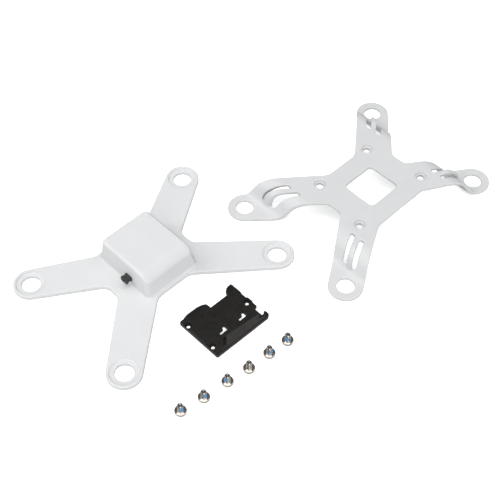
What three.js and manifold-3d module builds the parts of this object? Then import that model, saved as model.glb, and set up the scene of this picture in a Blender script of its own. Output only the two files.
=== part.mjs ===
// Gimbal vibration damping board kit for a small camera drone, laid out loose on a flat surface.
// Two X shaped boards, a box cover, a cable grommet, three brass inserts and six screws.
// Millimetres, +Z up. X and Y run along the short and long sides of the boards' hole rectangle.
// The origin is under the middle of the whole layout, on the surface that the pieces rest on.

import * as THREE from 'three';
import { mergeVertices } from 'three/addons/utils/BufferGeometryUtils.js';
import Module from 'manifold-3d';

const wasm = await Module();
wasm.setup();

// ---------------------------------------------------------------- driving dimensions
// Layout: each board's hole rectangle is centred at plus or minus these.
const boardOffset = { x: 15.7, y: 46.55 };

// Plan that both boards share, with the long waist on the +X side.
const eye = { x: 30.1, y: 42.2, outerRadius: 7.4 };
const longWaist = { x: 22.5, halfLength: 14, fillet: 5 };
const shortWaist = { x: -11.8, halfLength: 8.6, fillet: 6 };
const crossWaist = { y: 20.6, fromX: -0.4, toX: 7, fillet: 4.5 };

// Upper board: a flat plate with a hollow box on it.
const upperThickness = 2.3;
const upperEdge = 0.6;
const upperEye = { holeRadius: 4, recessRadius: 6.1, recessDepth: 0.6 };
const box = {
  x: -5.3, y: 0.65, length: 31.4, width: 27.2, top: 13.3, corner: 2.1,
  draft: 1.2, topFillet: 1.4, wall: 1.9,
  slopeStart: 10.4, slopeRun: 4.4, slopeDrop: 3,
};
const coverPocket = { length: 29.6, width: 24.2, depth: 1.9, corner: 1.5 };
const boss = { radius: 2.6, top: 7.5 };

// Lower board: a thin sheet, its middle raised over four low eyes.
const sheet = { thickness: 1.4, top: 11 };
const mainBend = { start: 26, upperRadius: 8.5, angle: 62, lowerRadius: 3.5 };
const stripBend = { start: 29.8, upperRadius: 5.5, angle: 82, lowerRadius: 0.8 };
const lowerEyeRadius = 3.85;
const windowHole = { x: 5.6, length: 16.2, width: 17.2, corner: 2 };
const screwSeat = { holeRadius: 1.6, seatRadius: 2.5, seatDepth: 1, bossRadius: 3.6, bossDepth: 0.9 };
const screwSeats = [{ x: -10.6, y: 15.3 }, { x: 16.9, y: 19.9 }];
const slot = { inner: 25.7, outer: 34.9, width: 2.15, pitch: 4.6, lap: 0.03 };
const longArmSlots = { innerX: 20.9, outerX: 25.1 };
const shortArmSlots = { innerX: -16, outerX: -23.3 };

// Box cover, cable grommet, inserts and screws.
const cover = { x: 23.3, y: -43.65, plate: 1.6, rim: 2.1 };
const coverLedge = { top: 3.2, fall: 24, frontX: 6.9, frontY: -5.2, backX: 8.3, backY: 12 };
const coverHoles = [{ x: 0.25, y: 12.55 }, { x: -8, y: -12.35 }, { x: 6.2, y: -12.05 }];
const coverHole = { radius: 0.8, recessRadius: 1.4, recessFloor: 0.6 };
const coverSlots = [{ x: 4.35, y: -6 }, { x: 4.8, y: 4.2 }];
const coverPit = { floor: 0.5, corners: [[5.9, -5.9], [6.6, -5.5], [9.3, -8], [8.8, -8.8]] };
const grommet = {
  x: 3.8, z: 6.3, bodyWidth: 3.8, bodyHeight: 2.3, proud: 3.1, neckWidth: 3, neckHeight: 1.6,
  flangeWidth: 4.4, flangeHeight: 3, holeRadius: 0.65,
};
const insert = { radius: 1.55, boreRadius: 1.02, length: 3.5, recess: 0.2, clearance: 0.1 };
const screw = {
  headRadius: 2.4, headHeight: 1.6, shankRadius: 1.2, height: 5.3, socketAcross: 2, socketDepth: 0.9,
};
const screwPlaces = [
  { x: 42.1, y: -84.3, patch: -5 }, { x: 43.9, y: -73.9, patch: -8 }, { x: 45.1, y: -62.5, patch: 265 },
  { x: 46.6, y: -52.3, patch: null }, { x: 47.2, y: -41.7, patch: 5 }, { x: 48.0, y: -32.2, patch: 295 },
];
const patch = { from: 2.3, to: 4.1, gap: 0.05, thickness: 0.14, span: 110 };

const arcStep = { eye: 15, fillet: 18, round: 24 };
const degree = Math.PI / 180;

// ---------------------------------------------------------------- materials
const whitePlastic = new THREE.MeshStandardMaterial({ color: 0xe6e7e8, roughness: 0.55, metalness: 0 });
const blackPlastic = new THREE.MeshStandardMaterial({ color: 0x222222, roughness: 0.6, metalness: 0 });
const blackRubber = new THREE.MeshStandardMaterial({ color: 0x1b1b1b, roughness: 0.8, metalness: 0 });
const steel = new THREE.MeshStandardMaterial({ color: 0xb9bcc0, roughness: 0.25, metalness: 1 });
const brass = new THREE.MeshStandardMaterial({ color: 0xb8923f, roughness: 0.35, metalness: 1 });
const blueNylon = new THREE.MeshStandardMaterial({ color: 0x2f7fc4, roughness: 0.5, metalness: 0 });

// ---------------------------------------------------------------- solids
function toSolid(geometry) {
  const bare = new THREE.BufferGeometry();
  bare.setAttribute('position', geometry.attributes.position.clone());
  if (geometry.index) bare.setIndex(geometry.index.clone());
  const merged = mergeVertices(bare, 1e-4);
  return new wasm.Manifold(new wasm.Mesh({
    numProp: 3,
    vertProperties: new Float32Array(merged.attributes.position.array),
    triVerts: new Uint32Array(merged.index.array),
  }));
}

function toMesh(name, solid, material) {
  const data = solid.getMesh();
  const geometry = new THREE.BufferGeometry();
  geometry.setAttribute('position', new THREE.BufferAttribute(new Float32Array(data.vertProperties), 3));
  geometry.setIndex(new THREE.BufferAttribute(new Uint32Array(data.triVerts), 1));
  geometry.computeVertexNormals();
  const mesh = new THREE.Mesh(geometry, material);
  mesh.name = name;
  return mesh;
}

// A vertical prism of an outline between two heights, with holes through it if they are given.
function prism(points, bottom, top, holes = []) {
  const shape = new THREE.Shape(points);
  shape.holes = holes.map((hole) => new THREE.Path(hole));
  const geometry = new THREE.ExtrudeGeometry(shape, { depth: top - bottom, bevelEnabled: false });
  geometry.translate(0, 0, bottom);
  return toSolid(geometry);
}

// The same with both rims rounded off, for an outline without holes.
function roundedPrism(points, bottom, top, radius) {
  const geometry = new THREE.ExtrudeGeometry(new THREE.Shape(points), {
    depth: top - bottom - 2 * radius, bevelThickness: radius, bevelSize: radius, bevelOffset: -radius,
    bevelSegments: 2,
  });
  geometry.translate(0, 0, bottom + radius);
  return toSolid(geometry);
}

function cylinder(x, y, radius, bottom, top, sides = arcStep.round) {
  const geometry = new THREE.CylinderGeometry(radius, radius, top - bottom, sides);
  geometry.rotateX(Math.PI / 2);
  geometry.translate(x, y, (top + bottom) / 2);
  return toSolid(geometry);
}

function block(x0, x1, y0, y1, z0, z1) {
  const geometry = new THREE.BoxGeometry(x1 - x0, y1 - y0, z1 - z0);
  geometry.translate((x0 + x1) / 2, (y0 + y1) / 2, (z0 + z1) / 2);
  return toSolid(geometry);
}

// ---------------------------------------------------------------- outlines
// Replaces each corner that has a radius with an arc tangent to both of its edges.
function filleted(corners) {
  const points = [];
  corners.forEach((corner, i) => {
    if (!corner.r) {
      points.push(new THREE.Vector2(corner.x, corner.y));
      return;
    }
    const here = new THREE.Vector2(corner.x, corner.y);
    const before = corners[(i + corners.length - 1) % corners.length];
    const after = corners[(i + 1) % corners.length];
    const back = new THREE.Vector2(before.x, before.y).sub(here).normalize();
    const ahead = new THREE.Vector2(after.x, after.y).sub(here).normalize();
    const half = Math.acos(back.dot(ahead)) / 2;
    const start = here.clone().addScaledVector(back, corner.r / Math.tan(half));
    const toCentre = back.clone().add(ahead).normalize();
    const centre = here.clone().addScaledVector(toCentre, corner.r / Math.sin(half));
    const turn = Math.sign(ahead.cross(back)) * (Math.PI - 2 * half);
    const steps = Math.max(1, Math.ceil(Math.abs(turn) / (arcStep.fillet * degree)));
    for (let k = 0; k <= steps; k += 1) {
      points.push(start.clone().rotateAround(centre, (turn * k) / steps));
    }
  });
  return points;
}

function rectangle(x, y, length, width, corner) {
  const right = x + length / 2;
  const back = y + width / 2;
  return filleted([
    { x: right, y: y - width / 2, r: corner }, { x: right, y: back, r: corner },
    { x: x - length / 2, y: back, r: corner }, { x: x - length / 2, y: y - width / 2, r: corner },
  ]);
}

// Where the line from a point touches a circle; side 1 is the circle's left as seen from the point.
function tangentAngle(from, centre, radius, side) {
  const away = new THREE.Vector2(from.x - centre.x, from.y - centre.y);
  return away.angle() - side * Math.acos(radius / away.length());
}

// The round end of one arm, counterclockwise from the edge that comes from one waist corner
// to the edge that goes to the next.
function eyeEnd(centre, from, to) {
  const start = tangentAngle(from, centre, eye.outerRadius, -1);
  let end = tangentAngle(to, centre, eye.outerRadius, 1);
  while (end < start) end += 2 * Math.PI;
  const steps = Math.ceil((end - start) / (arcStep.eye * degree));
  return Array.from({ length: steps + 1 }, (_, k) => {
    const angle = start + ((end - start) * k) / steps;
    return {
      x: centre.x + eye.outerRadius * Math.cos(angle),
      y: centre.y + eye.outerRadius * Math.sin(angle),
    };
  });
}

// X shaped plan, its long waist on the +X side or, with side -1, on the -X side.
function boardOutline(side) {
  const waists = [
    { x: longWaist.x, y: -longWaist.halfLength, r: longWaist.fillet },
    { x: longWaist.x, y: longWaist.halfLength, r: longWaist.fillet },
    { x: crossWaist.toX, y: crossWaist.y, r: crossWaist.fillet },
    { x: crossWaist.fromX, y: crossWaist.y, r: crossWaist.fillet },
    { x: shortWaist.x, y: shortWaist.halfLength, r: shortWaist.fillet },
    { x: shortWaist.x, y: -shortWaist.halfLength, r: shortWaist.fillet },
    { x: crossWaist.fromX, y: -crossWaist.y, r: crossWaist.fillet },
    { x: crossWaist.toX, y: -crossWaist.y, r: crossWaist.fillet },
  ];
  const eyes = [[1, 1], [-1, 1], [-1, -1], [1, -1]].map(([sx, sy]) => ({ x: sx * eye.x, y: sy * eye.y }));
  const corners = [];
  eyes.forEach((centre, arm) => {
    const from = waists[2 * arm + 1];
    const to = waists[(2 * arm + 2) % 8];
    corners.push(from, ...eyeEnd(centre, from, to), to);
  });
  const points = filleted(corners);
  return side > 0 ? points : points.map((p) => new THREE.Vector2(-p.x, p.y)).reverse();
}

const eyeCentres = [[1, 1], [-1, 1], [-1, -1], [1, -1]].map(([sx, sy]) => ({ x: sx * eye.x, y: sy * eye.y }));

// ---------------------------------------------------------------- upper board
// Box with drafted walls and a rounded top edge; inset moves every face inwards.
function boxSolid(inset, bottom) {
  const fillet = Math.max(box.topFillet - inset / 2, 0.4);
  const top = box.top - inset;
  const outline = rectangle(0, 0, box.length - 2 * inset, box.width - 2 * inset, box.corner - inset / 2);
  const geometry = new THREE.ExtrudeGeometry(new THREE.Shape(outline), {
    depth: top - bottom - 2 * fillet, bevelThickness: fillet, bevelSize: fillet,
    bevelOffset: -fillet, bevelSegments: 3,
  });
  geometry.translate(0, 0, bottom + fillet);
  const place = geometry.attributes.position;
  const halfLength = box.length / 2 - inset;
  const halfWidth = box.width / 2 - inset;
  for (let i = 0; i < place.count; i += 1) {
    const lean = (box.draft * Math.max(place.getZ(i) - upperThickness, 0)) / (box.top - upperThickness);
    place.setX(i, place.getX(i) * (1 - lean / halfLength));
    place.setY(i, place.getY(i) * (1 - lean / halfWidth));
  }
  // The slope at the +X end takes away everything above a tilted plane.
  const angle = Math.atan2(box.slopeDrop, box.slopeRun);
  const reach = 60;
  const above = new THREE.BoxGeometry(reach, reach, reach);
  above.translate(0, 0, reach / 2);
  above.rotateY(angle);
  above.translate(box.slopeStart, 0, box.top);
  above.translate(-inset * Math.sin(angle), 0, -inset * Math.cos(angle));
  const solid = toSolid(geometry).subtract(toSolid(above));
  return solid.translate([box.x, box.y, 0]);
}

// The cover lies turned over and a quarter turn round when it closes the box.
const bossPlaces = coverHoles.map((hole) => ({ x: box.x + hole.y, y: box.y + hole.x }));

function upperBoard() {
  let solid = roundedPrism(boardOutline(-1), 0, upperThickness, upperEdge);
  eyeCentres.forEach((c) => {
    const floor = upperThickness - upperEye.recessDepth;
    solid = solid.subtract(cylinder(c.x, c.y, upperEye.recessRadius, floor, upperThickness + 1, 32));
    solid = solid.subtract(cylinder(c.x, c.y, upperEye.holeRadius, -1, floor + 1, 32));
  });
  solid = solid.add(boxSolid(0, 0.2));
  let hollow = boxSolid(box.wall, coverPocket.depth - 1);
  bossPlaces.forEach((place) => {
    hollow = hollow.subtract(cylinder(place.x, place.y, boss.radius, 0, boss.top));
  });
  const pocket = prism(rectangle(box.x, box.y, coverPocket.length, coverPocket.width, coverPocket.corner),
    -1, coverPocket.depth);
  solid = solid.subtract(hollow).subtract(pocket);
  bossPlaces.forEach((place) => {
    const bore = insert.radius + insert.clearance;
    const depth = coverPocket.depth + insert.recess + insert.length + insert.clearance;
    solid = solid.subtract(cylinder(place.x, place.y, bore, 0, depth, 16));
  });
  const front = box.y - box.width / 2 - 1;
  const gap = 0.15;
  return solid.subtract(block(box.x + grommet.x - grommet.neckWidth / 2 - gap,
    box.x + grommet.x + grommet.neckWidth / 2 + gap, front, front + 5,
    grommet.z - grommet.neckHeight / 2 - gap, grommet.z + grommet.neckHeight / 2 + gap));
}

// Flanged block in the box's front wall: an outer flange, a neck through the wall and an inner
// flange, with a round cable hole from end to end.
function cableGrommet() {
  const lean = box.draft * ((grommet.z - upperThickness) / (box.top - upperThickness));
  const wallOut = box.y - box.width / 2 + lean;
  const gap = 0.3;
  const part = (y0, y1, width, height) => block(box.x + grommet.x - width / 2,
    box.x + grommet.x + width / 2, y0, y1, grommet.z - height / 2, grommet.z + height / 2);
  const outer = part(wallOut - grommet.proud, wallOut - gap, grommet.bodyWidth, grommet.bodyHeight);
  const neck = part(wallOut - gap - 0.1, wallOut + box.wall + gap + 0.1,
    grommet.neckWidth, grommet.neckHeight);
  const inside = wallOut + box.wall + gap;
  const inner = part(inside, inside + 1, grommet.flangeWidth, grommet.flangeHeight);
  const hole = new THREE.CylinderGeometry(grommet.holeRadius, grommet.holeRadius, 12, 16);
  hole.translate(box.x + grommet.x, wallOut, grommet.z);
  return outer.add(neck).add(inner).subtract(toSolid(hole));
}

function threadedInsert(place) {
  const bottom = coverPocket.depth + insert.recess;
  const sleeve = cylinder(place.x, place.y, insert.radius, bottom, bottom + insert.length, 16);
  return sleeve.subtract(cylinder(place.x, place.y, insert.boreRadius, 0, boss.top, 12));
}

// ---------------------------------------------------------------- lower board
// Side view of one half of the sheet, from the middle out: level, bent down, level again.
function bentSide(bend) {
  const eyeTop = sheet.thickness;
  const angle = bend.angle * degree;
  const drop = sheet.top - eyeTop - (bend.upperRadius + bend.lowerRadius) * (1 - Math.cos(angle));
  const straight = drop / Math.tan(angle);
  const end = bend.start + (bend.upperRadius + bend.lowerRadius) * Math.sin(angle) + straight;
  const steps = 6;
  const side = [{ y: 0, z: sheet.top, a: 0 }];
  for (let k = 0; k <= steps; k += 1) {
    const a = (angle * k) / steps;
    side.push({
      y: bend.start + bend.upperRadius * Math.sin(a), z: sheet.top - bend.upperRadius * (1 - Math.cos(a)), a,
    });
  }
  for (let k = steps; k >= 0; k -= 1) {
    const a = (angle * k) / steps;
    side.push({
      y: end - bend.lowerRadius * Math.sin(a), z: eyeTop + bend.lowerRadius * (1 - Math.cos(a)), a,
    });
  }
  side.push({ y: eye.y + eye.outerRadius + 5, z: eyeTop, a: 0 });
  return side;
}

// The whole sheet's thickness in side view, swept along X.
function bentSlab(bend, x0, x1) {
  const side = bentSide(bend);
  const upper = side.map((p) => new THREE.Vector2(p.y, p.z));
  const under = side.map((p) => new THREE.Vector2(
    p.y - sheet.thickness * Math.sin(p.a), p.z - sheet.thickness * Math.cos(p.a)));
  const mirror = (points) => points.slice(1).map((p) => new THREE.Vector2(-p.x, p.y)).reverse();
  const half = [...upper, ...under.reverse()];
  const outline = [...mirror(upper), ...half, ...mirror(under.slice().reverse()).reverse()];
  const settings = { depth: x1 - x0, bevelEnabled: false };
  const geometry = new THREE.ExtrudeGeometry(new THREE.Shape(outline), settings);
  geometry.rotateX(Math.PI / 2);
  geometry.rotateZ(Math.PI / 2);
  geometry.translate(x0, 0, 0);
  return toSolid(geometry);
}

// Slanted band in plan that follows an arm, between two distances from the middle. Its width and
// its shift off the arm's own line are measured square to that line.
function armBand(slots, shift, width, near, far, sy) {
  const lean = (slots.outerX - slots.innerX) / (slot.outer - slot.inner);
  const across = Math.hypot(1, lean);
  const at = (distance, side) => slots.innerX + lean * (distance - slot.inner)
    + (shift + (side * width) / 2) * across;
  const corners = [
    new THREE.Vector2(at(near, -1), sy * near), new THREE.Vector2(at(near, 1), sy * near),
    new THREE.Vector2(at(far, 1), sy * far), new THREE.Vector2(at(far, -1), sy * far),
  ];
  return prism(sy > 0 ? corners : corners.reverse(), -1, sheet.top + 3);
}

function lowerBoard() {
  const holes = eyeCentres.map((c) => new THREE.EllipseCurve(c.x, c.y, lowerEyeRadius,
    lowerEyeRadius, 0, 2 * Math.PI).getPoints(arcStep.round).slice(1));
  holes.push(rectangle(windowHole.x, 0, windowHole.length, windowHole.width, windowHole.corner));
  const half = eye.x + eye.outerRadius + 2;
  let solid = prism(boardOutline(1), -1, sheet.top + 1, holes).intersect(bentSlab(mainBend, -half, half));
  const stripSlab = bentSlab(stripBend, -half, half);
  [longArmSlots, shortArmSlots].forEach((slots) => {
    [1, -1].forEach((sy) => {
      const stripWidth = slot.pitch - slot.width;
      [-0.5, 0.5].forEach((place) => {
        const cut = armBand(slots, place * slot.pitch, slot.width, slot.inner, slot.outer, sy);
        solid = solid.subtract(cut);
      });
      const room = armBand(slots, 0, stripWidth + slot.lap / 2, slot.inner + 1, slot.outer + 1, sy);
      solid = solid.subtract(room);
      const strip = armBand(slots, 0, stripWidth + slot.lap, slot.inner, slot.outer + 2.6, sy);
      solid = solid.add(strip.intersect(stripSlab));
    });
  });
  const underside = sheet.top - sheet.thickness;
  screwSeats.forEach((seat) => {
    [1, -1].forEach((sy) => {
      const y = sy * seat.y;
      const bottom = underside - screwSeat.bossDepth;
      const floor = sheet.top - screwSeat.seatDepth;
      solid = solid.add(cylinder(seat.x, y, screwSeat.bossRadius, bottom, underside + 0.1));
      solid = solid.subtract(cylinder(seat.x, y, screwSeat.seatRadius, floor, sheet.top + 1));
      solid = solid.subtract(cylinder(seat.x, y, screwSeat.holeRadius, underside - 3, sheet.top));
    });
  });
  return solid;
}

// ---------------------------------------------------------------- box cover
function boxCover() {
  const outline = filleted([
    { x: -11.3, y: 14.5, r: 0.9 }, { x: -10.9, y: 11.4, r: 0 }, { x: -9.6, y: 9.9, r: 0 },
    { x: -8.2, y: 9.8, r: 0.3 }, { x: -8.3, y: 0.2, r: 0.3 }, { x: -10.6, y: 0, r: 0.8 },
    { x: -11.6, y: -1.6, r: 0 }, { x: -12.2, y: -4.2, r: 0 }, { x: -12.3, y: -9.5, r: 0 },
    { x: -11.8, y: -11.5, r: 0 }, { x: -11.8, y: -14, r: 1 }, { x: 10.9, y: -14, r: 0.7 },
    { x: 11.4, y: 13.7, r: 0.5 }, { x: 10.5, y: 15.1, r: 0.5 }, { x: 8.2, y: 15.1, r: 0.5 },
    { x: 8.2, y: 14.3, r: 0 }, { x: 9, y: 13.5, r: 0 }, { x: 9, y: 12.6, r: 0.2 },
    { x: 4.4, y: 12.6, r: 0.2 }, { x: 4.4, y: 14.3, r: 0.4 }, { x: 2, y: 14.3, r: 0 },
    { x: 1.2, y: 14.7, r: 0 }, { x: -1.2, y: 14.7, r: 0 }, { x: -2, y: 14.1, r: 0 },
    { x: -4.6, y: 14.1, r: 0 }, { x: -5.4, y: 14.5, r: 0 },
  ]);
  let solid = prism(outline.reverse(), 0, cover.plate);
  // Ledge along the +X edge, falling outwards from the crest on its inner side.
  const toPoints = (corners) => corners.map((p) => new THREE.Vector2(...p));
  const { frontX, frontY, backX, backY } = coverLedge;
  const ledge = [
    [frontX, frontY], [9.6, -7.7], [9.6, -9.8], [10.2, -11.8], [10.2, -13.4], [10.6, -13.4], [11, 13.3],
    [10.3, 13.5], [10, 10.1], [backX, backY],
  ];
  const reach = 40;
  const above = new THREE.BoxGeometry(reach, reach, reach);
  above.translate(reach / 2, 0, reach / 2);
  above.rotateY(coverLedge.fall * degree);
  above.rotateZ(-Math.atan2(backX - frontX, backY - frontY));
  above.translate(frontX, frontY, coverLedge.top);
  const ledgeBlank = prism(toPoints(ledge), cover.plate - 0.5, coverLedge.top);
  solid = solid.add(ledgeBlank.subtract(toSolid(above)));
  // Low rims along the front edge, round the bulge at the left and round the tab at the back left.
  solid = solid.add(block(-5.6, 4, -13.6, -12.9, cover.plate - 0.5, cover.rim));
  const bulge = [
    [-11.7, -11.6], [-12.2, -9.5], [-12.1, -4.2], [-11.5, -1.6], [-10.5, -0.1], [-8.5, 0.1],
    [-8.7, -0.6], [-10.2, -0.8], [-10.9, -2], [-11.4, -4.3], [-11.5, -9.4], [-11, -11.4],
  ];
  const tab = [
    [-10.9, 11.7], [-11.1, 14.2], [-5.5, 14.3], [-5.6, 13.6], [-10.4, 13.5], [-10.2, 11.8],
  ];
  [bulge, tab].forEach((rim) => {
    solid = solid.add(prism(toPoints(rim).reverse(), cover.plate - 0.5, cover.rim));
  });
  const over = coverLedge.top + 1;
  coverHoles.forEach(({ x, y }) => {
    const recess = cylinder(x, y, coverHole.recessRadius, coverHole.recessFloor, over, 20);
    solid = solid.subtract(recess).subtract(cylinder(x, y, coverHole.radius, -1, over, 16));
  });
  // L shaped slots, each placed by its front right corner, and a blind pit before the ledge.
  coverSlots.forEach(({ x, y }) => {
    const elbow = [
      [x - 1.4, y], [x, y], [x, y + 4.1], [x - 2.6, y + 4.1], [x - 2.6, y + 2.5], [x - 1.4, y + 2.5],
    ];
    solid = solid.subtract(prism(toPoints(elbow), -1, over));
  });
  solid = solid.subtract(prism(toPoints(coverPit.corners).reverse(), coverPit.floor, over));
  return solid;
}

// ---------------------------------------------------------------- screws
// Each screw stands on its head, the hex socket down and the threaded shank up.
function standingScrew() {
  const profile = [
    [0, 0], [screw.headRadius - 0.25, 0], [screw.headRadius, 0.25],
    [screw.headRadius, screw.headHeight - 0.15],
    [screw.headRadius - 0.15, screw.headHeight], [screw.shankRadius, screw.headHeight],
    [screw.shankRadius, screw.height - 0.3], [screw.shankRadius - 0.3, screw.height], [0, screw.height],
  ].map(([r, z]) => new THREE.Vector2(r, z));
  const body = new THREE.LatheGeometry(profile, arcStep.round);
  body.rotateX(Math.PI / 2);
  const socketRadius = screw.socketAcross / 2 / Math.cos(30 * degree);
  return toSolid(body).subtract(cylinder(0, 0, socketRadius, -1, screw.socketDepth, 6));
}

// Patch of nylon on one side of the thread, which keeps the screw from working loose.
function threadlockPatch(direction) {
  const inner = screw.shankRadius + patch.gap;
  const outer = inner + patch.thickness;
  const start = (direction - patch.span / 2) * degree;
  const steps = 6;
  const arc = (radius) => Array.from({ length: steps + 1 }, (_, k) => {
    const angle = start + (patch.span * degree * k) / steps;
    return new THREE.Vector2(radius * Math.cos(angle), radius * Math.sin(angle));
  });
  return prism([...arc(outer), ...arc(inner).reverse()], patch.from, patch.to);
}

// ---------------------------------------------------------------- assembly
const group = new THREE.Group();

const upper = new THREE.Group();
upper.position.set(-boardOffset.x, -boardOffset.y, 0);
upper.add(toMesh('upper_board', upperBoard(), whitePlastic));
upper.add(toMesh('cable_grommet', cableGrommet(), blackRubber));
bossPlaces.forEach((place, i) => {
  upper.add(toMesh(`threaded_insert_${i + 1}`, threadedInsert(place), brass));
});
group.add(upper);

const lower = toMesh('lower_board', lowerBoard(), whitePlastic);
lower.position.set(boardOffset.x, boardOffset.y, 0);
group.add(lower);

const lid = toMesh('box_cover', boxCover(), blackPlastic);
lid.position.set(cover.x, cover.y, 0);
group.add(lid);

screwPlaces.forEach((place, i) => {
  const stand = new THREE.Group();
  stand.position.set(place.x, place.y, 0);
  stand.add(toMesh(`screw_${i + 1}`, standingScrew(), steel));
  if (place.patch !== null) {
    stand.add(toMesh(`threadlock_patch_${i + 1}`, threadlockPatch(place.patch), blueNylon));
  }
  group.add(stand);
});

export default group;
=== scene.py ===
"""Looks of a gimbal vibration damping board kit laid out loose on a white table.

Shapes are worked out in millimetres in each piece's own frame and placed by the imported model's boxes.
"""

import math

import bmesh
import bpy
import numpy as np
from mathutils import Matrix, Vector
from mathutils.geometry import delaunay_2d_cdt


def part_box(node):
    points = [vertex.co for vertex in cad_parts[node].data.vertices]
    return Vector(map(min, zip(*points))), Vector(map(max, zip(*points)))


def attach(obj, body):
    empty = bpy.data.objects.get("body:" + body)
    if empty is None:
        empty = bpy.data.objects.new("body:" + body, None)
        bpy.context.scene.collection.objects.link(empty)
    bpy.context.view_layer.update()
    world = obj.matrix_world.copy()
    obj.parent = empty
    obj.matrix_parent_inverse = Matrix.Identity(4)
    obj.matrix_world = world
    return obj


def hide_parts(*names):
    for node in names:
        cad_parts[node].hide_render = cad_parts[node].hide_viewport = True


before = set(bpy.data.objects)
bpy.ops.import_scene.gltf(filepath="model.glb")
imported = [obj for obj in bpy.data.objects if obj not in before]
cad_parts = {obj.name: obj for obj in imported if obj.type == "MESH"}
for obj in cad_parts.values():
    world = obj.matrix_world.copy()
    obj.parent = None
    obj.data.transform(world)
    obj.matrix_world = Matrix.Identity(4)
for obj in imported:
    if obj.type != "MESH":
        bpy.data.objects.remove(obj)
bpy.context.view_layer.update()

MM = 0.001
ARC_STEP = math.radians(5)

# ---------------------------------------------------------------- driving dimensions, in millimetres
EYE = dict(x=30.1, y=42.2, outer=7.387)
LONG_WAIST = dict(x=22.5, half=14.0, fillet=5.0)
SHORT_WAIST = dict(x=-11.8, half=8.6, fillet=6.0)
CROSS_WAIST = dict(y=20.6, x0=-0.4, x1=7.0, fillet=4.5)

UPPER = dict(thickness=2.3, edge=0.6, hole=4.0, recess=6.1, recess_depth=0.6)
BOX = dict(x=-5.3, y=0.65, length=31.4, width=27.2, top=13.3, corner=1.8, top_corner=2.3, draft=1.2,
           fillet=1.4, wall=1.9, slope_start=10.4, slope_run=4.4, slope_drop=3.0, slope_soft=0.8, foot=0.8)
POCKET = dict(length=29.6, width=24.2, depth=1.9, corner=1.5)
BOSS = dict(radius=2.6, bore=1.65, bore_top=5.7, top=7.5, reach=14.25, proud=0.03)

SHEET = dict(thickness=1.4, top=11.0, edge=0.28)
MAIN_BEND = dict(start=26.0, upper=8.5, angle=62.0, lower=3.5)
STRIP_BEND = dict(start=29.8, upper=5.5, angle=82.0, lower=0.8)
LOWER_EYE = 3.85
WINDOW = dict(x=5.6, length=16.2, width=17.2, corner=2.0)
SEAT = dict(hole=1.6, radius=2.5, depth=1.0, boss=3.6, boss_depth=0.9)
SEAT_PLACES = [(-10.6, 15.3), (16.9, 19.9)]
SLOT = dict(inner=25.7, outer=34.9, width=2.15, pitch=4.6)
STRIP_TIP = 33.6
BEND_CUTS = dict(start=25.0, end=39.3, step=0.35)
LONG_ARM = dict(inner_x=20.9, outer_x=25.1)
SHORT_ARM = dict(inner_x=-16.0, outer_x=-23.3)

COVER = dict(plate=1.6, rim=2.1, left=-12.3, back=15.1, top_edge=0.2, foot_edge=0.12, rim_edge=0.22)
COVER_LEDGE = dict(top=3.2, edge=0.15, fall=24, front_x=6.9, front_y=-5.2, back_x=8.3, back_y=12.0)
COVER_HOLES = [(0.25, 12.55), (-8.0, -12.35), (6.2, -12.05)]
COVER_HOLE = dict(radius=0.8, recess=1.4, recess_floor=0.6)
COVER_SLOTS = [(4.35, -6.0), (4.8, 4.2)]
COVER_PIT = dict(floor=0.5, corners=[(5.9, -5.9), (8.8, -8.8), (9.3, -8.0), (6.6, -5.5)])
EJECTOR_MARK = dict(radius=0.75, height=0.07, edge=0.05)
EJECTOR_MARKS = [(-4, 10.9), (5.7, 0.3), (6.3, 5.6), (6.8, -9.2), (-6.5, -4.5)]

SCREW = dict(head=2.4, head_height=1.6, shank=1.2, height=5.3, socket=2.0, socket_depth=0.9,
             pitch=0.45, thread_depth=0.14)

GROMMET = dict(width=3.8, height=2.3, corner=0.35, neck_start=3.0, flange=1.0, hole=0.65)
GROMMET_WAIST = (0.25, 0.2)
GROMMET_NECK = (0.4, 0.3)

PATCH = dict(half_span=math.radians(56), across=22, up=16, over=0.12, follow=0.06, under=0.2)

INSERT = dict(bore_share=0.66, knurl_depth=0.09, thread_depth=0.07, pitch=0.45, turns=24, sides=96)

# ---------------------------------------------------------------- studio, in metres, watts and degrees
LAMPS = [  # name, place, size, power, colour
    ("key", (-1.1, -0.95, 1.1), 1.5, 17, (1, 0.995, 0.985)),
    ("fill", (1.4, -0.7, 0.8), 1.6, 19, (1, 1, 1)),
    ("top", (0.05, -0.25, 1.9), 1.7, 19, (0.99, 0.995, 1)),
    ("back", (0.5, 0.8, 1.55), 0.8, 5, (1, 0.99, 0.97))]
WORLD = dict(colour=(0.9, 0.95, 1.0), strength=0.26)
TABLE = dict(size=24, below=0.00002, seen=0.965, reflected=0.72, glow=0.42)
CAMERA = dict(lens=76.56, sensor=36, elevation=51.356, turn=45.75, distance=0.45468,
              target=(0.00386, -0.01016, 0))


# ---------------------------------------------------------------- node materials
def new_material(name, base, roughness, metallic=0.0, gloss=0.5):
    """A Principled material. Returns the material, its node tree and its shader node."""
    material = bpy.data.materials.new(name)
    material.use_nodes = True
    tree = material.node_tree
    shader = tree.nodes["Principled BSDF"]
    shader.inputs["Base Color"].default_value = (*base, 1)
    shader.inputs["Roughness"].default_value = roughness
    shader.inputs["Metallic"].default_value = metallic
    shader.inputs["Specular IOR Level"].default_value = gloss
    return material, tree, shader


def noise(tree, scale, detail, coordinates):
    node = tree.nodes.new("ShaderNodeTexNoise")
    node.inputs["Scale"].default_value = scale
    node.inputs["Detail"].default_value = detail
    tree.links.new(coordinates, node.inputs["Vector"])
    return node.outputs["Fac"]


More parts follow.
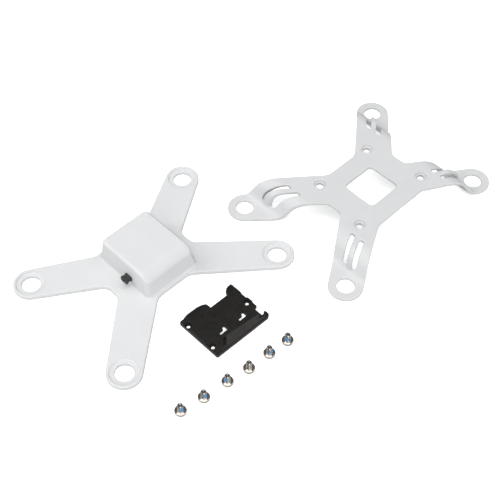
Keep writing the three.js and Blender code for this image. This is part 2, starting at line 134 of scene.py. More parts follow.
def ramp(tree, value, low, high, colour_low, colour_high):
    """A colour that runs from one to another while the value goes from low to high."""
    node = tree.nodes.new("ShaderNodeValToRGB")
    node.color_ramp.elements[0].position = low
    node.color_ramp.elements[0].color = (*colour_low, 1)
    node.color_ramp.elements[1].position = high
    node.color_ramp.elements[1].color = (*colour_high, 1)
    tree.links.new(value, node.inputs["Fac"])
    return node.outputs["Color"]


def remap(tree, value, low, high):
    """A noise value brought into the range low to high."""
    node = tree.nodes.new("ShaderNodeMapRange")
    node.inputs["From Min"].default_value = 0.3
    node.inputs["From Max"].default_value = 0.7
    node.inputs["To Min"].default_value = low
    node.inputs["To Max"].default_value = high
    tree.links.new(value, node.inputs["Value"])
    return node.outputs["Result"]


def add_bump(tree, shader, height, strength, distance):
    node = tree.nodes.new("ShaderNodeBump")
    node.inputs["Strength"].default_value = strength
    node.inputs["Distance"].default_value = distance
    tree.links.new(height, node.inputs["Height"])
    tree.links.new(node.outputs["Normal"], shader.inputs["Normal"])


def moulded_plastic(name, base, spread, roughness, grain, grain_depth, gloss=0.5, blotch=90):
    """Injection moulded plastic: faint cloudy colour, uneven gloss and a fine spark eroded grain.

    The spread is the share by which the colour varies. The grain and the blotches are noise scales
    per metre, and the grain's depth is in metres.
    """
    material, tree, shader = new_material(name, base, roughness, 0.0, gloss)
    place = tree.nodes.new("ShaderNodeTexCoord").outputs["Object"]
    cloud = noise(tree, blotch, 3, place)
    lighter = tuple(min(c * (1 + spread), 1) for c in base)
    darker = tuple(c * (1 - spread) for c in base)
    tree.links.new(ramp(tree, cloud, 0.35, 0.65, darker, lighter), shader.inputs["Base Color"])
    polish = noise(tree, 260, 2, place)
    tree.links.new(remap(tree, polish, roughness - 0.05, roughness + 0.06), shader.inputs["Roughness"])
    fine = noise(tree, grain, 2, place)
    add_bump(tree, shader, fine, 0.5, grain_depth)
    return material


def turned_metal(name, base, roughness, spread):
    """Metal turned on a lathe: slightly uneven colour and gloss, and a very fine grain."""
    material, tree, shader = new_material(name, base, roughness, 1.0)
    place = tree.nodes.new("ShaderNodeTexCoord").outputs["Object"]
    cloud = noise(tree, 900, 3, place)
    tree.links.new(remap(tree, cloud, roughness - spread, roughness + spread), shader.inputs["Roughness"])
    darker = tuple(c * 0.88 for c in base)
    tree.links.new(ramp(tree, cloud, 0.3, 0.7, darker, base), shader.inputs["Base Color"])
    fine = noise(tree, 4000, 1, place)
    add_bump(tree, shader, fine, 0.25, 0.00001)
    return material


# A darker copy of the white moulded plastic for the lower board. Its lower base colour is painted shade
# that dims the sheet where the lamps light it more than the box, not a different plastic.
WHITE_PLASTIC_SHADED = moulded_plastic("white_plastic_painted_shade", (0.56, 0.56, 0.562), 0.012, 0.58, 3200, 0.00002,
                              gloss=0.35)
WHITE = moulded_plastic("white_moulded_plastic", (0.61, 0.61, 0.612), 0.012, 0.6, 3200, 0.00002,
                        gloss=0.35)
BLACK = moulded_plastic("black_moulded_plastic", (0.0064, 0.005, 0.004), 0.45, 0.38, 2600, 0.0001,
                        gloss=0.33, blotch=800)
RUBBER = moulded_plastic("black_rubber", (0.018, 0.018, 0.019), 0.2, 0.62, 2600, 0.00003)
NYLON = moulded_plastic("blue_thread_patch", (0.05, 0.25, 0.52), 0.2, 0.45, 6000, 0.00004)
STEEL = turned_metal("turned_steel", (0.42, 0.385, 0.35), 0.1, 0.04)
BRASS = turned_metal("turned_brass", (0.72, 0.52, 0.22), 0.26, 0.05)


# ---------------------------------------------------------------- plane outlines
def filleted(corners):
    """Points of a polygon of (x, y, radius) corners, each corner with a radius rounded by an arc."""
    points = []
    for i, (x, y, radius) in enumerate(corners):
        here = Vector((x, y))
        if not radius:
            points.append(here)
            continue
        back = (Vector(corners[i - 1][:2]) - here).normalized()
        ahead = (Vector(corners[(i + 1) % len(corners)][:2]) - here).normalized()
        half = back.angle(ahead) / 2
        start = here + back * (radius / math.tan(half))
        centre = here + (back + ahead).normalized() * (radius / math.sin(half))
        sense = 1 if ahead.cross(back) > 0 else -1
        turn = sense * (math.pi - 2 * half)
        steps = max(2, math.ceil(abs(turn) / (2 * ARC_STEP)))
        for k in range(steps + 1):
            points.append(centre + (start - centre) @ Matrix.Rotation(-turn * k / steps, 2))
    return points


def circle(x, y, radius, steps=72):
    return [Vector((x + radius * math.cos(2 * math.pi * k / steps),
                    y + radius * math.sin(2 * math.pi * k / steps))) for k in range(steps)]


def rounded_rectangle(x, y, length, width, corner):
    half_x, half_y = length / 2, width / 2
    return filleted([(x + half_x, y - half_y, corner), (x + half_x, y + half_y, corner),
                     (x - half_x, y + half_y, corner), (x - half_x, y - half_y, corner)])


def tangent_angle(point, centre, radius, side):
    """The direction from the centre to where a line from the point touches the circle."""
    away = Vector(point) - Vector(centre)
    return math.atan2(away.y, away.x) - side * math.acos(radius / away.length)


def eye_end(centre, before, after):
    """The round end of an arm, between the edges that come from one waist and go to the next."""
    start = tangent_angle(before, centre, EYE["outer"], -1)
    end = tangent_angle(after, centre, EYE["outer"], 1)
    while end < start:
        end += 2 * math.pi
    steps = math.ceil((end - start) / ARC_STEP)
    return [(centre[0] + EYE["outer"] * math.cos(start + (end - start) * k / steps),
             centre[1] + EYE["outer"] * math.sin(start + (end - start) * k / steps), 0)
            for k in range(steps + 1)]


EYE_CENTRES = [(sx * EYE["x"], sy * EYE["y"]) for sx, sy in ((1, 1), (-1, 1), (-1, -1), (1, -1))]


def board_outline(side):
    """The X shaped plan of both boards, its long waist on the +X side (1) or the -X side (-1)."""
    lw, sw, cw = LONG_WAIST, SHORT_WAIST, CROSS_WAIST
    waists = [(lw["x"], -lw["half"], lw["fillet"]), (lw["x"], lw["half"], lw["fillet"]),
              (cw["x1"], cw["y"], cw["fillet"]), (cw["x0"], cw["y"], cw["fillet"]),
              (sw["x"], sw["half"], sw["fillet"]), (sw["x"], -sw["half"], sw["fillet"]),
              (cw["x0"], -cw["y"], cw["fillet"]), (cw["x1"], -cw["y"], cw["fillet"])]
    corners = []
    for arm, centre in enumerate(EYE_CENTRES):
        before, after = waists[2 * arm + 1], waists[(2 * arm + 2) % 8]
        corners += [before, *eye_end(centre, before[:2], after[:2]), after]
    points = filleted(corners)
    if side > 0:
        return points
    return [Vector((-p.x, p.y)) for p in reversed(points)]


# ---------------------------------------------------------------- slabs with profiled rims
def into_material(points, distance, hole):
    """The counterclockwise loop moved into the material: inwards, or outwards round a hole."""
    sign = -1 if hole else 1
    moved = []
    count = len(points)
    for i, here in enumerate(points):
        first = (here - points[i - 1]).normalized()
        second = (points[(i + 1) % count] - here).normalized()
        left = Vector((-first.y - second.y, first.x + second.x))
        if left.length < 1e-6:
            moved.append(here.copy())
            continue
        left.normalize()
        across = max(left.dot(Vector((-first.y, first.x))), 0.35)
        moved.append(here + left * (sign * distance / across))
    return moved


def inside(points, polygon):
    """Even-odd test of many points against one polygon."""
    result = np.zeros(len(points), bool)
    corner = np.array([(p.x, p.y) for p in polygon])
    last = np.roll(corner, 1, axis=0)
    x, y = points[:, 0], points[:, 1]
    for (x1, y1), (x2, y2) in zip(last, corner):
        if y1 == y2:
            continue
        crosses = (y1 > y) != (y2 > y)
        result ^= crosses & (x < (x2 - x1) * (y - y1) / (y2 - y1) + x1)
    return result


def cap(bm, rings, up):
    """Fills the region between an outer ring (the first) and the hole rings with triangles."""
    verts = [v for ring in rings for v in ring]
    edges = []
    start = 0
    for ring in rings:
        count = len(ring)
        edges += [(start + i, start + (i + 1) % count) for i in range(count)]
        start += count
    flat = [Vector((v.co.x, v.co.y)) for v in verts]
    made, _, faces, origin, _, _ = delaunay_2d_cdt(flat, edges, [], 0, 1e-5, True)
    middles = np.array([sum((made[i] for i in f), Vector((0, 0))) / 3 for f in faces])
    keep = inside(middles, [v.co for v in rings[0]])
    for ring in rings[1:]:
        keep &= ~inside(middles, [v.co for v in ring])
    for face, kept in zip(faces, keep):
        if not kept:
            continue
        corners = [verts[origin[i][0]] for i in face]
        a, b, c = (v.co for v in corners)
        facing_up = (b.x - a.x) * (c.y - a.y) - (b.y - a.y) * (c.x - a.x) > 0
        bm.faces.new(corners if facing_up == up else corners[::-1])


def wall(bm, upper, lower, hole):
    """Quads between two rings of one loop, the first of them nearer the top of the profile."""
    count = len(upper)
    for i in range(count):
        j = (i + 1) % count
        quad = [upper[i], lower[i], lower[j], upper[j]]
        bm.faces.new(quad[::-1] if hole else quad)


def profiled_loop(bm, points, profile, hole):
    """Rings along a profile of (distance into the material, height), from the top face down."""
    rings = []
    for distance, height in profile:
        rings.append([bm.verts.new((p.x, p.y, height)) for p in into_material(points, distance, hole)])
    for upper, lower in zip(rings, rings[1:]):
        wall(bm, upper, lower, hole)
    return rings


def arc(radius, steps):
    """Quarter arc as (inward, down) pairs, from level to upright."""
    out = []
    for k in range(steps + 1):
        a = math.pi / 2 * k / steps
        out.append((radius * (1 - math.sin(a)), radius * (1 - math.cos(a))))
    return out


def rim(bottom, top, upper_edge, lower_edge, steps=3):
    """Profile of a plain rim with both of its edges rounded."""
    upper = [(d, top - z) for d, z in arc(upper_edge, steps)]
    lower = [(d, bottom + z) for d, z in arc(lower_edge, steps)]
    return upper + lower[::-1]


def slab(bm, outline, profile, holes=(), pits=()):
    """A closed slab. Its holes, and its blind pits from the top, are (points, profile) pairs."""
    tops, bottoms = [], []
    for points, loop_profile, hole in [(outline, profile, False), *[(p, q, True) for p, q in holes]]:
        rings = profiled_loop(bm, points, loop_profile, hole)
        tops.append(rings[0])
        bottoms.append(rings[-1])
    for points, loop_profile in pits:
        rings = profiled_loop(bm, points, loop_profile, True)
        tops.append(rings[0])
        cap(bm, [rings[-1]], True)
    cap(bm, tops, True)
    cap(bm, bottoms, False)


# ---------------------------------------------------------------- finished objects
def finish_mesh(name, bm, place, material, body, replaced, sharp=38):
    """Turns the millimetre mesh into a smooth shaded object in metres that rides on its body."""
    bmesh.ops.remove_doubles(bm, verts=bm.verts, dist=1e-4)
    mesh = bpy.data.meshes.new(name)
    bm.to_mesh(mesh)
    bm.free()
    mesh.transform(Matrix.Scale(MM, 4))
    mesh.shade_smooth()
    mesh.set_sharp_from_angle(angle=math.radians(sharp))
    mesh.materials.append(material)
    piece = bpy.data.objects.new(name, mesh)
    piece.location = place
    bpy.context.scene.collection.objects.link(piece)
    weighted = piece.modifiers.new("even_normals", "WEIGHTED_NORMAL")
    weighted.keep_sharp = True
    weighted.weight = 90
    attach(piece, body)
    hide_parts(replaced)
    return piece


def middle_of(node):
    low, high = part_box(node)
    return Vector(((low.x + high.x) / 2, (low.y + high.y) / 2, low.z))


def cut_across(bm, place, normal):
    """Splits every face that the plane crosses, so that the mesh can bend there."""
    geometry = bm.verts[:] + bm.edges[:] + bm.faces[:]
    bmesh.ops.bisect_plane(bm, geom=geometry, plane_co=place, plane_no=normal, dist=1e-5)


# ---------------------------------------------------------------- upper board
def box_shell(bm, inset, foot):
    """Outer or inner faces of the box, open below at height foot. Returns its bottom ring."""
    shell = bmesh.new()
    top, base = BOX["top"] - inset, UPPER["thickness"]
    rise = BOX["top"] - base
    fillet = max(BOX["fillet"] - inset / 2, 0.5)
    levels = [(0, foot + (top - fillet - foot) * k / 6) for k in range(6)]
    levels += [(d, top - z) for d, z in arc(fillet, 6)][::-1]
    rings = []
    for tucked, z in levels:
        lean = BOX["draft"] * (z - base) / rise
        corner = BOX["corner"] + (BOX["top_corner"] - BOX["corner"]) * (z - base) / rise
        away = 2 * (inset + lean + tucked)
        ring = rounded_rectangle(0, 0, BOX["length"] - away, BOX["width"] - away,
                                 max(corner - inset / 2 - tucked, 0.4))
        rings.append([shell.verts.new((p.x, p.y, z)) for p in ring])
    for lower, upper in zip(rings, rings[1:]):
        wall(shell, upper, lower, False)
    cap(shell, [rings[-1]], True)
    # Cut lines across the sloping end, which then sinks; the wall under it shortens evenly.
    angle = math.atan2(BOX["slope_drop"], BOX["slope_run"])
    start, soft = BOX["slope_start"] - inset * math.tan(angle / 2), BOX["slope_soft"]
    for k in range(9):
        cut_across(shell, (start + soft * (k / 4 - 1), 0, 0), (1, 0, 0))
    for vert in shell.verts:
        past = vert.co.x - start
        if past < -soft:
            drop = 0
        elif past > soft:
            drop = past
        else:
            drop = (past + soft) ** 2 / (4 * soft)
        share = (vert.co.z - foot) / (top - foot)
        vert.co.z -= math.tan(angle) * drop * share
    # The open bottom ring, in order, counterclockwise from above.
    rim_edges = [e for e in shell.edges if len(e.link_faces) == 1]
    ring = [rim_edges[0].verts[0]]
    edge = rim_edges[0]
    while True:
        step = edge.other_vert(ring[-1])
        if step is ring[0]:
            break
        ring.append(step)
        edge = next(e for e in step.link_edges if len(e.link_faces) == 1 and e is not edge)
    area = sum(a.co.x * b.co.y - b.co.x * a.co.y for a, b in zip(ring, ring[1:] + ring[:1]))
    if area < 0:
        ring.reverse()
    shift = Vector((BOX["x"], BOX["y"], 0))
    copies = {v: bm.verts.new(v.co + shift) for v in shell.verts}
    for face in shell.faces:
        corners = [copies[v] for v in face.verts]
        bm.faces.new(corners[::-1] if inset else corners)
    result = [copies[v] for v in ring]
    shell.free()
    return result


def plan(ring):
    return [Vector((v.co.x, v.co.y)) for v in ring]


def upper_board():
    bm = bmesh.new()
    thick = UPPER["thickness"]
    outer = profiled_loop(bm, board_outline(-1), rim(0, thick, UPPER["edge"], UPPER["edge"], 4), False)
    tops, bottoms = [outer[0]], [outer[-1]]
    floor = thick - UPPER["recess_depth"]
    reach = UPPER["recess"] - UPPER["hole"]
    eye_profile = [(reach + d, thick - z) for d, z in arc(0.3, 3)]
    eye_profile += [(reach - 0.02, floor + 0.22), (reach - 0.1, floor + 0.07), (reach - 0.26, floor)]
    eye_profile += [(0.45, floor), (0.22, floor - 0.05), (0.06, floor - 0.18), (0, floor - 0.4)]
    eye_profile += [(d, z) for d, z in arc(0.3, 3)][::-1]
    for x, y in EYE_CENTRES:
        rings = profiled_loop(bm, circle(x, y, UPPER["hole"]), eye_profile, True)
        tops.append(rings[0])
        bottoms.append(rings[-1])
    # The box's foot sweeps out into the board's top face.
    foot = BOX["foot"]
    ring = box_shell(bm, 0, thick + foot)
    base = plan(ring)
    rings = [ring]
    for k in range(1, 5):
        a = math.pi / 2 * k / 4
        height = thick + foot * (1 - math.sin(a))
        swept = into_material(base, foot * (1 - math.cos(a)), True)
        rings.append([bm.verts.new((p.x, p.y, height)) for p in swept])
    for upper, lower in zip(rings, rings[1:]):
        wall(bm, upper, lower, False)
    tops.append(rings[-1])
    cap(bm, tops, True)
    # Underneath: the cover's pocket, and the hollow above it.
    pocket = rounded_rectangle(BOX["x"], BOX["y"], POCKET["length"], POCKET["width"], POCKET["corner"])
    depth = POCKET["depth"]
    pocket_rings = profiled_loop(bm, pocket, [(0, depth), (0, 0.25), (0.07, 0.07), (0.25, 0)], True)
    bottoms.append(pocket_rings[-1])
    cap(bm, bottoms, False)
    hollow = box_shell(bm, BOX["wall"], depth)
    cap(bm, [pocket_rings[0], hollow], False)
    # Bosses stand out from the end walls, which they end inside, and take the brass inserts.
    for x, y in COVER_HOLES:
        centre = (BOX["x"] + y, BOX["y"] + x)
        outside, bore = BOSS["radius"], BOSS["bore"]
        low = depth - BOSS["proud"]
        boss_profile = [(outside - 0.3, BOSS["top"]), (outside, BOSS["top"] - 0.3), (outside, low + 0.15),
                        (outside - 0.15, low), (bore + 0.12, low), (bore, low + 0.12),
                        (bore, BOSS["bore_top"])]
        tube = []
        for radius, height in boss_profile:
            points = [(BOX["x"] + max(min(p.x - BOX["x"], BOSS["reach"]), -BOSS["reach"]), p.y)
                      for p in circle(*centre, radius, 40)]
            tube.append([bm.verts.new((*point, height)) for point in points])
        for upper, lower in zip(tube, tube[1:]):
            wall(bm, upper, lower, False)
        bm.faces.new(tube[0])
        bm.faces.new(tube[-1][::-1])
    return finish_mesh("upper_board_shell", bm, middle_of("upper_board"), WHITE, "upper",
                       "upper_board")


# ---------------------------------------------------------------- lower board
def bent_heights(bend):
    """Functions that give the sheet's upper and under height at a distance from the middle."""
    angle = math.radians(bend["angle"])
    thick, top, both = SHEET["thickness"], SHEET["top"], bend["upper"] + bend["lower"]
    drop = top - thick - both * (1 - math.cos(angle))
    end = bend["start"] + both * math.sin(angle) + drop / math.tan(angle)
    path = [(0, top, 0)]
    steps = 24
    for k in range(steps + 1):
        a = angle * k / steps
        path.append((bend["start"] + bend["upper"] * math.sin(a),
                     top - bend["upper"] * (1 - math.cos(a)), a))
    for k in range(steps, -1, -1):
        a = angle * k / steps
        path.append((end - bend["lower"] * math.sin(a), thick + bend["lower"] * (1 - math.cos(a)), a))
    path.append((EYE["y"] + EYE["outer"] + 5, thick, 0))
    ys, zs, angles = (np.array(c) for c in zip(*path))
    under_y, under_z = ys - thick * np.sin(angles), zs - thick * np.cos(angles)
    under_y[0] = 0
    return (lambda y: float(np.interp(y, ys, zs))), (lambda y: float(np.interp(y, under_y, under_z))), end


def arm_slots(x):
    return LONG_ARM if x > 0 else SHORT_ARM


def slot_lean(slots):
    """How far an arm's slot line goes sideways for each millimetre outwards."""
    return (slots["outer_x"] - slots["inner_x"]) / (SLOT["outer"] - SLOT["inner"])


def arm_point(slots, sy, v, s):
    """Plan point at v to the side of an arm's slot line and s out from the board's middle."""
    lean = slot_lean(slots)
    x = slots["inner_x"] + lean * (s - SLOT["inner"]) + v * math.hypot(1, lean)
    return x, sy * s


def arm_side(slots, x, s):
    """How far to the side of an arm's slot line a plan point is."""
    lean = slot_lean(slots)
    return (x - slots["inner_x"] - lean * (s - SLOT["inner"])) / math.hypot(1, lean)


def slot_loop(slots, sy):
    """The two slots of an arm, joined round the tip of the strip between them into one U."""
    inner, outer = SLOT["inner"], SLOT["outer"]
    strip = (SLOT["pitch"] - SLOT["width"]) / 2
    far = (SLOT["pitch"] + SLOT["width"]) / 2
    corners = [(-far, inner, 0.7), (-strip, inner, 0.35), (-strip, STRIP_TIP, 0.4),
               (strip, STRIP_TIP, 0.4), (strip, inner, 0.7), (far, inner, 0.35),
               (far, outer, 0.7), (-far, outer, 0.7)]
    corners = [(*arm_point(slots, sy, v, s), r) for v, s, r in corners]
    loop = filleted(corners)
    area = sum(a.x * b.y - b.x * a.y for a, b in zip(loop, loop[1:] + loop[:1]))
    return loop if area > 0 else loop[::-1]


def lower_board():
    bm = bmesh.new()
    thick, edge = SHEET["thickness"], SHEET["edge"]
    plain = rim(0, thick, edge, edge, 3)
    holes = [(circle(x, y, LOWER_EYE), plain) for x, y in EYE_CENTRES]
    window = rounded_rectangle(WINDOW["x"], 0, WINDOW["length"], WINDOW["width"], WINDOW["corner"])
    holes.append((window, plain))
    reach = SEAT["radius"] - SEAT["hole"]
    seat_floor = thick - SEAT["depth"]
    below = -SEAT["boss_depth"]
    boss = SEAT["boss"] - SEAT["hole"]
    seat = [(reach + d, thick - z) for d, z in arc(0.18, 3)]
    seat += [(reach - 0.12, seat_floor + 0.12), (reach - 0.2, seat_floor), (0.08, seat_floor),
             (0, seat_floor - 0.08), (0, below + 0.1), (0.1, below), (boss - 0.15, below),
             (boss, below + 0.15), (boss, -0.2), (boss + 0.06, -0.06), (boss + 0.2, 0)]
    for x, y in SEAT_PLACES:
        for sy in (1, -1):
            holes.append((circle(x, sy * y, SEAT["hole"], 56), seat))
    for sx in (1, -1):
        for sy in (1, -1):
            holes.append((slot_loop(arm_slots(sx), sy), plain))
    slab(bm, board_outline(1), plain, holes)
    # Cut lines across the arms, close together where the sheet bends.
    for y in np.arange(BEND_CUTS["start"], BEND_CUTS["end"], BEND_CUTS["step"]):
        for sy in (1, -1):
            cut_across(bm, (0, sy * y, 0), (0, 1, 0))
    main_top, main_under, _ = bent_heights(MAIN_BEND)
    strip_top, strip_under, strip_end = bent_heights(STRIP_BEND)
    stretch = (strip_end + 0.1 - SLOT["inner"]) / (STRIP_TIP - SLOT["inner"])
    strip_half = (SLOT["pitch"] - SLOT["width"]) / 2 + 0.01
    for vert in bm.verts:
        x, y, z = vert.co
        s, sy = abs(y), math.copysign(1, y)
        slots = arm_slots(x)
        side = arm_side(slots, x, s)
        top_at, under_at = main_top, main_under
        if SLOT["inner"] < s < STRIP_TIP + 0.01 and abs(side) < strip_half:
            s = SLOT["inner"] + (s - SLOT["inner"]) * stretch
            vert.co.x, vert.co.y = arm_point(slots, sy, side, s)
            top_at, under_at = strip_top, strip_under
        vert.co.z = top_at(s) - (thick - z) if z > thick / 2 else under_at(s) + z
    return finish_mesh("lower_board_sheet", bm, middle_of("lower_board"), WHITE_PLASTIC_SHADED, "lower",
                       "lower_board")


# ---------------------------------------------------------------- box cover
def solid_prism(bm, corners, bottom, top, upper_edge, lower_edge=0.0, holes=(), pits=()):
    """A prism of (x, y, radius) corners with softened rims, for ribs, ledges and plates."""
    least = max(upper_edge, lower_edge) + 0.03
    outline = filleted([(x, y, max(r, least)) for x, y, r in corners])
    area = sum(a.x * b.y - b.x * a.y for a, b in zip(outline, outline[1:] + outline[:1]))
    if area < 0:
        outline = outline[::-1]
    profile = [(d, top - z) for d, z in arc(upper_edge, 2)]
    profile += [(d, bottom + z) for d, z in arc(lower_edge, 2)][::-1] if lower_edge else [(0, bottom)]
    slab(bm, outline, profile, holes, pits)


def elbow(x, y):
    """The outline of one L shaped slot, placed by its front right corner."""
    return [(x - 1.4, y, 0.1), (x, y, 0.1), (x, y + 4.1, 0.1), (x - 2.6, y + 4.1, 0.1),
            (x - 2.6, y + 2.5, 0.1), (x - 1.4, y + 2.5, 0.1)]


def box_cover():
    bm = bmesh.new()
    plate, rim_top = COVER["plate"], COVER["rim"]
    outline = [
        (-11.3, 14.5, 0.9), (-10.9, 11.4, 0.4), (-9.6, 9.9, 0.5), (-8.2, 9.8, 0.3), (-8.3, 0.2, 0.3),
        (-10.6, 0, 0.8), (-11.6, -1.6, 0.8), (-12.2, -4.2, 1.5), (-12.3, -9.5, 1.5), (-11.8, -11.5, 0.6),
        (-11.8, -14, 1.0), (10.9, -14, 0.7), (11.4, 13.7, 0.5), (10.5, 15.1, 0.5), (8.2, 15.1, 0.5),
        (8.2, 14.3, 0), (9, 13.5, 0), (9, 12.6, 0.2), (4.4, 12.6, 0.2), (4.4, 14.3, 0.4), (2, 14.3, 0.4),
        (1.2, 14.7, 0.4), (-1.2, 14.7, 0.4), (-2, 14.1, 0.4), (-4.6, 14.1, 0.5), (-5.4, 14.5, 0.4)]
    straight = [(0.08, plate), (0.02, plate - 0.03), (0, plate - 0.08), (0, 0.08), (0.08, 0)]
    reach, floor = COVER_HOLE["recess"] - COVER_HOLE["radius"], COVER_HOLE["recess_floor"]
    stepped = [(reach + 0.03, plate), (reach, plate - 0.03), (reach, plate - 0.1), (reach, floor + 0.06),
               (reach - 0.06, floor), (0.06, floor), (0, floor - 0.06), (0, 0.08), (0.08, 0)]
    holes = [(circle(x, y, COVER_HOLE["radius"], 32), stepped) for x, y in COVER_HOLES]
    holes += [(filleted(elbow(x, y)), straight) for x, y in COVER_SLOTS]
    pit = (filleted([(x, y, 0.1) for x, y in COVER_PIT["corners"]]),
           straight[:3] + [(0, COVER_PIT["floor"])])
    solid_prism(bm, outline, 0, plate, COVER["top_edge"], COVER["foot_edge"], holes, [pit])
    # Ledge along the +X edge, falling outwards from the crest on its inner side.
    top = COVER_LEDGE["top"]
    front = Vector((COVER_LEDGE["front_x"], COVER_LEDGE["front_y"]))
    back = Vector((COVER_LEDGE["back_x"], COVER_LEDGE["back_y"]))
    along = (back - front).normalized()
    fall = math.tan(math.radians(COVER_LEDGE["fall"]))
    before = len(bm.verts)
    ledge = [(*front, 0.3), (9.6, -7.7, 0.2), (9.6, -9.8, 0.3), (10.2, -11.8, 0.3), (10.2, -13.4, 0.1),
             (10.6, -13.4, 0.1), (11, 13.3, 0.2), (10.3, 13.5, 0.2), (10, 10.1, 0.2), (*back, 0.3)]
    solid_prism(bm, ledge, plate - 0.5, top, COVER_LEDGE["edge"])
    for vert in list(bm.verts)[before:]:
        if vert.co.z > plate:
            out = Vector((vert.co.x - front.x, vert.co.y - front.y))
            vert.co.z -= fall * max(out.x * along.y - out.y * along.x, 0)
    # Low rims along the front edge, round the bulge at the left and round the tab at the back left.
    edge = [(-5.6, -13.6, 0.2), (4, -13.6, 0.2), (4, -12.9, 0.2), (-5.6, -12.9, 0.2)]
    bulge = [(-11.7, -11.6, 0.2), (-12.2, -9.5, 0.6), (-12.1, -4.2, 0.6), (-11.5, -1.6, 0.6),
             (-10.5, -0.1, 0.3), (-8.5, 0.1, 0.2), (-8.7, -0.6, 0.2), (-10.2, -0.8, 0.4),
             (-10.9, -2, 0.5), (-11.4, -4.3, 0.6), (-11.5, -9.4, 0.6), (-11, -11.4, 0.2)]
    tab = [(-10.9, 11.7, 0.2), (-11.1, 14.2, 0.6), (-5.5, 14.3, 0.2), (-5.6, 13.6, 0.2), (-10.4, 13.5, 0.4),
           (-10.2, 11.8, 0.2)]
    for rim_line in (edge, bulge, tab):
        solid_prism(bm, rim_line, plate - 0.5, rim_top, COVER["rim_edge"])
    # Round marks left by the mould's ejector pins.
    high, soft = plate + EJECTOR_MARK["height"], EJECTOR_MARK["edge"]
    mark = [(soft, high), (0, high - soft), (0, plate - 0.2)]
    for x, y in EJECTOR_MARKS:
        slab(bm, circle(x, y, EJECTOR_MARK["radius"], 24), mark)
    return finish_mesh("box_cover_plate", bm, cover_origin(), BLACK, "cover",
                       "box_cover", 12)


def cover_origin():
    """Where the zero point of the cover's outline lies, worked out from its box."""
    low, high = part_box("box_cover")
    return Vector((low.x - COVER["left"] * MM, high.y - COVER["back"] * MM, low.z))


# ---------------------------------------------------------------- cable grommet
def cable_grommet():
    """Square rubber block with waisted sides and a round cable hole, its flange inside the wall."""
    low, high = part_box("cable_grommet")
    size = (high - low) / MM
    bm = bmesh.new()
    half_x, half_z = GROMMET["width"] / 2, GROMMET["height"] / 2
    waist_x, waist_z = half_x - GROMMET_WAIST[0], half_z - GROMMET_WAIST[1]
    neck_x, neck_z = half_x - GROMMET_NECK[0], half_z - GROMMET_NECK[1]
    neck_start, flange = GROMMET["neck_start"], size.y - GROMMET["flange"]
    # Sections from the outer face inwards: (distance from the face, half width, half height).
    sections = [(0, half_x - 0.25, half_z - 0.25), (0.08, half_x - 0.08, half_z - 0.08),
                (0.3, half_x, half_z), (0.9, half_x, half_z), (1.3, waist_x, waist_z),
                (2.1, waist_x, waist_z), (2.5, half_x, half_z), (neck_start, half_x, half_z),
                (neck_start + 0.05, neck_x, neck_z), (flange - 0.1, neck_x, neck_z),
                (flange, size.x / 2, size.z / 2), (size.y - 0.1, size.x / 2, size.z / 2),
                (size.y, size.x / 2 - 0.1, size.z / 2 - 0.1)]
    rings = []
    for depth, half_width, half_height in sections:
        ring = rounded_rectangle(0, 0, 2 * half_width, 2 * half_height, GROMMET["corner"])
        rings.append([bm.verts.new((p.x, p.y, -depth)) for p in ring])
    for upper, lower in zip(rings, rings[1:]):
        wall(bm, upper, lower, False)
    hole = circle(0, 0, GROMMET["hole"], 32)
    bore_profile = [(0.12, 0), (0.03, -0.04), (0, -0.12), (0, -size.y + 0.1), (0.1, -size.y)]
    bore = profiled_loop(bm, hole, bore_profile, True)
    cap(bm, [rings[0], bore[0]], True)
    cap(bm, [rings[-1], bore[-1]], False)
    bmesh.ops.rotate(bm, verts=bm.verts, matrix=Matrix.Rotation(math.radians(90), 3, "X"))
    place = Vector(((low.x + high.x) / 2, low.y, (low.z + high.z) / 2))
    return finish_mesh("cable_grommet_block", bm, place, RUBBER, "upper",
                       "cable_grommet", 40)


# ---------------------------------------------------------------- turned pieces
def polar(radius, angle):
    return radius * math.cos(angle), radius * math.sin(angle)


def lathe_rings(bm, profile, sides):
    """Rings along a profile of (radius, height), from the bottom up, joined by faces."""
    rings = []
    for radius, height in profile:
        rings.append([bm.verts.new((*polar(radius, 2 * math.pi * k / sides), height))
                      for k in range(sides)])
    for lower, upper in zip(rings, rings[1:]):
        wall(bm, upper, lower, False)
    return rings


def thread_crest(z, turn):
    """How near the thread's crest a point is, from 0 in the root to 1 on the crest."""
    phase = (z / SCREW["pitch"] - turn) % 1
    return 1 - abs(2 * phase - 1)


def threaded_ring(bm, z, sides, depth):
    """One ring of a thread: its radius rises and falls with the angle and the height."""
    ring = []
    for k in range(sides):
        turn = k / sides
        radius = SCREW["shank"] - depth * (1 - thread_crest(z, turn))
        ring.append(bm.verts.new((*polar(radius, 2 * math.pi * turn), z)))
    return ring


